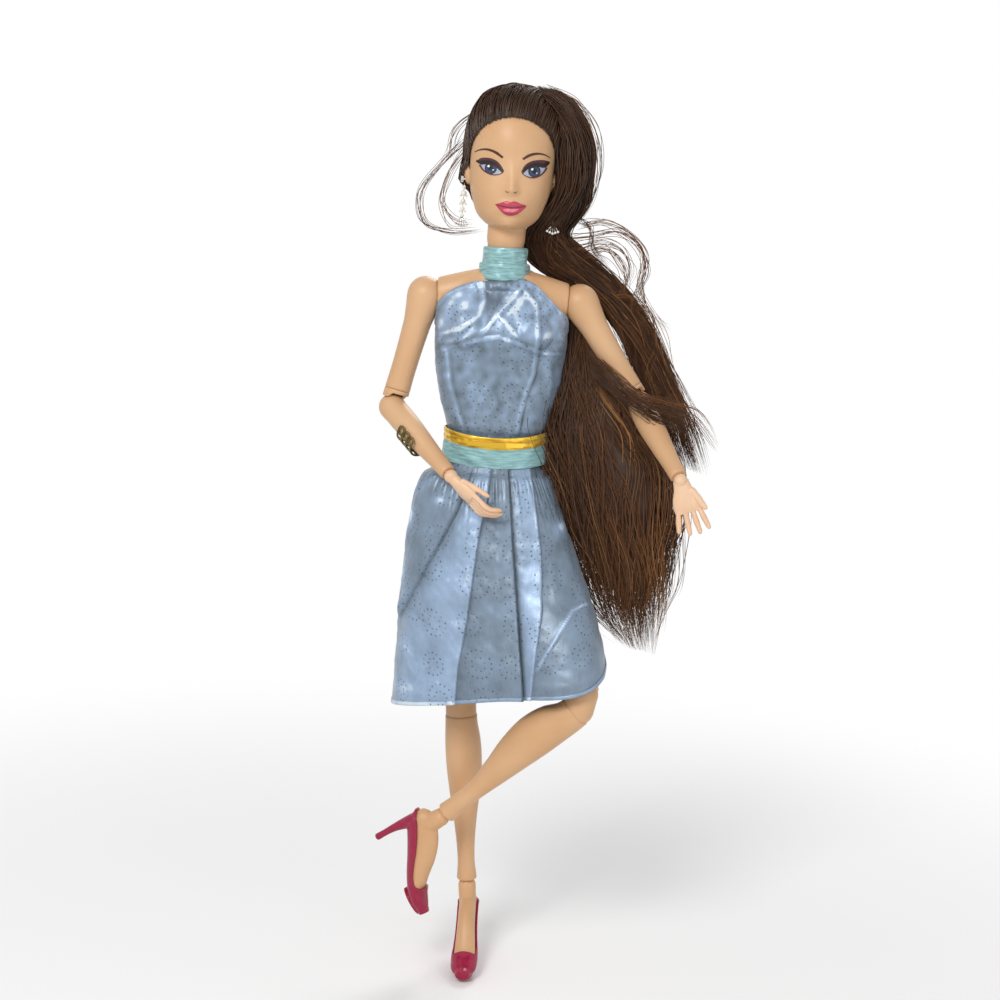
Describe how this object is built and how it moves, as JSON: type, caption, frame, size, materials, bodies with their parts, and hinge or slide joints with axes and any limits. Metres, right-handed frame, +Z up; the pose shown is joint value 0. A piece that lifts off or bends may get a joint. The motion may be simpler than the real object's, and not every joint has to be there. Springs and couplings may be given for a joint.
{
  "type": "fashion doll",
  "caption": "Jointed fashion doll with long brown hair, blue satin halter dress, gold belt and crimson heels, one leg crossed in front of the other.",
  "frame": {"origin": "middle of the waist, at the height of the belt, where the doll is held", "axes": "+Z up, the face towards -Y, the doll's own left side at +X"},
  "size_m": [0.1108, 0.0523, 0.2998],
  "materials": {
    "skin": "satin, flesh coloured",
    "hand_skin": "satin, pale flesh coloured",
    "inner_plastic": "moulded joint pieces, out of sight",
    "hair": "fine glossy fibres",
    "satin": "blue satin with small dark glitter dots in rings",
    "teal_trim": "pale teal satin",
    "gold_ribbon": "golden ribbon with a metal sheen",
    "shoe": "glossy dark crimson",
    "ear_metal": "bright metal with clear beads",
    "bracelet_metal": "antique gold openwork"
  },
  "bodies": {
    "pelvis": {"lower_torso": "skin", "waistband": "teal_trim", "belt": "gold_ribbon", "belt_bar": "gold_ribbon", "skirt": "satin"},
    "waist": {"waist_pivot": "inner_plastic"},
    "chest": {"upper_torso": "skin", "bodice": "satin", "bodice_closure": "satin", "collar": "teal_trim"},
    "neck_knob": {"neck_knob": "inner_plastic"},
    "neck_plug": {"neck_plug": "inner_plastic"},
    "head": {"head": "skin", "hair_cap": "hair", "hair_fall": "hair", "hair_lock": "hair", "left_ear_stud": "ear_metal", "right_ear_stud": "ear_metal"},
    "left_drop": {"left_ear_drop": "ear_metal"},
    "right_drop": {"right_ear_drop": "ear_metal"},
    "bracelet": {"bracelet": "bracelet_metal"},
    "left_shoulder_hub": {"left_shoulder_hub": "inner_plastic"},
    "left_upper_arm": {"left_upper_arm": "skin"},
    "left_elbow_hub": {"left_elbow_hub": "skin"},
    "left_wrist_peg": {"left_wrist_peg": "inner_plastic"},
    "left_hand": {"left_hand": "hand_skin"},
    "left_hip_hub": {"left_hip_hub": "inner_plastic"},
    "left_thigh_cap": {"left_thigh_cap": "skin"},
    "left_thigh": {"left_thigh": "skin"},
    "left_shin": {"left_shin": "skin"},
    "left_ankle_peg": {"left_ankle_peg": "inner_plastic"},
    "left_forearm": {"left_forearm": "skin", "left_elbow_pin": "inner_plastic"},
    "left_knee_link": {"left_knee_link": "skin", "left_knee_pin_upper": "inner_plastic", "left_knee_pin_lower": "inner_plastic"},
    "left_foot": {"left_foot": "skin", "left_shoe": "shoe"},
    "right_shoulder_hub": {"right_shoulder_hub": "inner_plastic"},
    "right_upper_arm": {"right_upper_arm": "skin"},
    "right_elbow_hub": {"right_elbow_hub": "skin"},
    "right_wrist_peg": {"right_wrist_peg": "inner_plastic"},
    "right_hand": {"right_hand": "hand_skin"},
    "right_hip_hub": {"right_hip_hub": "inner_plastic"},
    "right_thigh_cap": {"right_thigh_cap": "skin"},
    "right_thigh": {"right_thigh": "skin"},
    "right_shin": {"right_shin": "skin"},
    "right_ankle_peg": {"right_ankle_peg": "inner_plastic"},
    "right_forearm": {"right_forearm": "skin", "right_elbow_pin": "inner_plastic"},
    "right_knee_link": {"right_knee_link": "skin", "right_knee_pin_upper": "inner_plastic", "right_knee_pin_lower": "inner_plastic"},
    "right_foot": {"right_foot": "skin", "right_shoe": "shoe"}
  },
  "joints": [
    {"name": "torso_turn", "type": "hinge", "parent": "pelvis", "child": "waist", "pos_m": [0, 0, 0], "axis": [0, 0, 1], "range_deg": [-15, 15]},
    {"name": "torso_bend", "type": "hinge", "parent": "waist", "child": "chest", "pos_m": [0, 0, 0.0095], "axis": [1, 0, 0], "range_deg": [-8, 8], "deforming": ["bodice"]},
    {"name": "head_nod", "type": "hinge", "parent": "chest", "child": "neck_knob", "pos_m": [0, 0.0006, 0.0686], "axis": [1, 0, 0], "range_deg": [-10, 12]},
    {"name": "head_tilt", "type": "hinge", "parent": "neck_knob", "child": "neck_plug", "pos_m": [0, 0.0006, 0.0686], "axis": [0, 1, 0], "range_deg": [-12, 8]},
    {"name": "head_turn", "type": "hinge", "parent": "neck_plug", "child": "head", "pos_m": [0, 0.0006, 0.0686], "axis": [0.0314, 0, 0.9995], "range_deg": [-60, 60], "deforming": ["hair_fall", "hair_lock"]},
    {"name": "left_drop_swing", "type": "hinge", "parent": "head", "child": "left_drop", "pos_m": [0.01593, -0.0006, 0.08531], "axis": [0.9995, 0, -0.0314], "range_deg": [-35, 35]},
    {"name": "right_drop_swing", "type": "hinge", "parent": "head", "child": "right_drop", "pos_m": [-0.01485, -0.0006, 0.08628], "axis": [0.9995, 0, -0.0314], "range_deg": [-35, 35]},
    {"name": "left_shoulder_swing", "type": "hinge", "parent": "chest", "child": "left_shoulder_hub", "pos_m": [0.026, 0.002, 0.0485], "axis": [-1, 0, 0], "range_deg": [-10, 70]},
    {"name": "left_shoulder_raise", "type": "hinge", "parent": "left_shoulder_hub", "child": "left_upper_arm", "pos_m": [0.026, 0.002, 0.0485], "axis": [0, -0.9959, 0.0906], "range_deg": [-10, 50]},
    {"name": "left_elbow_turn", "type": "hinge", "parent": "left_upper_arm", "child": "left_elbow_hub", "pos_m": [0.04768, -0.001, 0.0155], "axis": [-0.5476, 0.0758, 0.8333], "range_deg": [-20, 60]},
    {"name": "left_elbow_bend", "type": "hinge", "parent": "left_elbow_hub", "child": "left_forearm", "pos_m": [0.04768, -0.001, 0.0155], "axis": [-0.8336, 0.0374, -0.5511], "range_deg": [-40, 45]},
    {"name": "left_wrist_turn", "type": "hinge", "parent": "left_forearm", "child": "left_wrist_peg", "pos_m": [0.06091, -0.02702, -0.00626], "axis": [-0.3632, 0.7146, 0.5978], "range_deg": [-60, 60]},
    {"name": "left_wrist_bend", "type": "hinge", "parent": "left_wrist_peg", "child": "left_hand", "pos_m": [0.06091, -0.02702, -0.00626], "axis": [-0.8593, -0.009, -0.5113], "range_deg": [-6, 80]},
    {"name": "left_hip_swing", "type": "hinge", "parent": "pelvis", "child": "left_hip_hub", "pos_m": [0.0122, 0, -0.026], "axis": [-1, 0, 0], "range_deg": [-3, 55], "deforming": ["skirt"]},
    {"name": "left_hip_spread", "type": "hinge", "parent": "left_hip_hub", "child": "left_thigh_cap", "pos_m": [0.0122, 0, -0.026], "axis": [0, -0.8886, 0.4587], "range_deg": [-5, 25]},
    {"name": "left_thigh_turn", "type": "hinge", "parent": "left_thigh_cap", "child": "left_thigh", "pos_m": [0.0165, -0.00563, -0.0369], "axis": [-0.3305, 0.4329, 0.8387], "range_deg": [-3, 25]},
    {"name": "left_knee_upper", "type": "hinge", "parent": "left_thigh", "child": "left_knee_link", "pos_m": [0.03315, -0.02744, -0.07917], "axis": [0.4748, 0.8443, -0.2487], "range_deg": [-36, 4]},
    {"name": "left_knee_lower", "type": "hinge", "parent": "left_knee_link", "child": "left_shin", "pos_m": [0.03195, -0.02824, -0.08417], "axis": [0.4748, 0.8443, -0.2487], "range_deg": [-36, 4]},
    {"name": "left_ankle_turn", "type": "hinge", "parent": "left_shin", "child": "left_ankle_peg", "pos_m": [-0.01206, -0.01629, -0.12763], "axis": [0.6986, -0.1897, 0.6899], "range_deg": [-20, 20]},
    {"name": "left_ankle_bend", "type": "hinge", "parent": "left_ankle_peg", "child": "left_foot", "pos_m": [-0.01206, -0.01629, -0.12763], "axis": [0.3312, 0.9404, -0.0768], "range_deg": [-25, 25]},
    {"name": "right_shoulder_swing", "type": "hinge", "parent": "chest", "child": "right_shoulder_hub", "pos_m": [-0.026, 0.002, 0.0485], "axis": [-1, 0, 0], "range_deg": [-5, 70]},
    {"name": "right_shoulder_raise", "type": "hinge", "parent": "right_shoulder_hub", "child": "right_upper_arm", "pos_m": [-0.026, 0.002, 0.0485], "axis": [0, 0.9986, -0.0523], "range_deg": [-4, 60]},
    {"name": "right_elbow_turn", "type": "hinge", "parent": "right_upper_arm", "child": "right_elbow_hub", "pos_m": [-0.03558, -0.00001, 0.01013], "axis": [-0.2419, -0.0508, -0.969], "range_deg": [-10, 90]},
    {"name": "right_elbow_bend", "type": "hinge", "parent": "right_elbow_hub", "child": "right_forearm", "pos_m": [-0.03558, -0.00001, 0.01013], "axis": [-0.6014, -0.7759, 0.1908], "range_deg": [-64, 25]},
    {"name": "right_wrist_turn", "type": "hinge", "parent": "right_forearm", "child": "right_wrist_peg", "pos_m": [-0.01394, -0.02163, -0.0096], "axis": [-0.5944, 0.594, 0.542], "range_deg": [-60, 60]},
    {"name": "right_wrist_bend", "type": "hinge", "parent": "right_wrist_peg", "child": "right_hand", "pos_m": [-0.01394, -0.02163, -0.0096], "axis": [0.7698, 0.2255, 0.5971], "range_deg": [-60, 25]},
    {"name": "bracelet_turn", "type": "hinge", "parent": "right_forearm", "child": "bracelet", "pos_m": [-0.02637, -0.00922, 0.00173], "axis": [-0.5944, 0.594, 0.542], "continuous": true},
    {"name": "right_hip_swing", "type": "hinge", "parent": "pelvis", "child": "right_hip_hub", "pos_m": [-0.0122, 0, -0.026], "axis": [1, 0, 0], "range_deg": [-2, 12]},
    {"name": "right_hip_spread", "type": "hinge", "parent": "right_hip_hub", "child": "right_thigh_cap", "pos_m": [-0.0122, 0, -0.026], "axis": [0, 0.9998, -0.0175], "range_deg": [-3, 30]},
    {"name": "right_thigh_turn", "type": "hinge", "parent": "right_thigh_cap", "child": "right_thigh", "pos_m": [-0.01123, -0.00023, -0.03896], "axis": [0.075, -0.0174, -0.997], "range_deg": [-20, 30]},
    {"name": "right_knee_upper", "type": "hinge", "parent": "right_thigh", "child": "right_knee_link", "pos_m": [-0.00745, -0.0011, -0.08921], "axis": [0.982, -0.1723, 0.0769], "range_deg": [-2, 50]},
    {"name": "right_knee_lower", "type": "hinge", "parent": "right_knee_link", "child": "right_shin", "pos_m": [-0.00704, -0.0011, -0.0944], "axis": [0.982, -0.1723, 0.0769], "range_deg": [-2, 50]},
    {"name": "right_ankle_turn", "type": "hinge", "parent": "right_shin", "child": "right_ankle_peg", "pos_m": [-0.00194, -0.00003, -0.15718], "axis": [-0.081, -0.017, 0.9966], "range_deg": [-20, 20]},
    {"name": "right_ankle_bend", "type": "hinge", "parent": "right_ankle_peg", "child": "right_foot", "pos_m": [-0.00194, -0.00003, -0.15718], "axis": [0.9945, -0.0684, 0.0796], "range_deg": [-25, 25]}
  ]
}
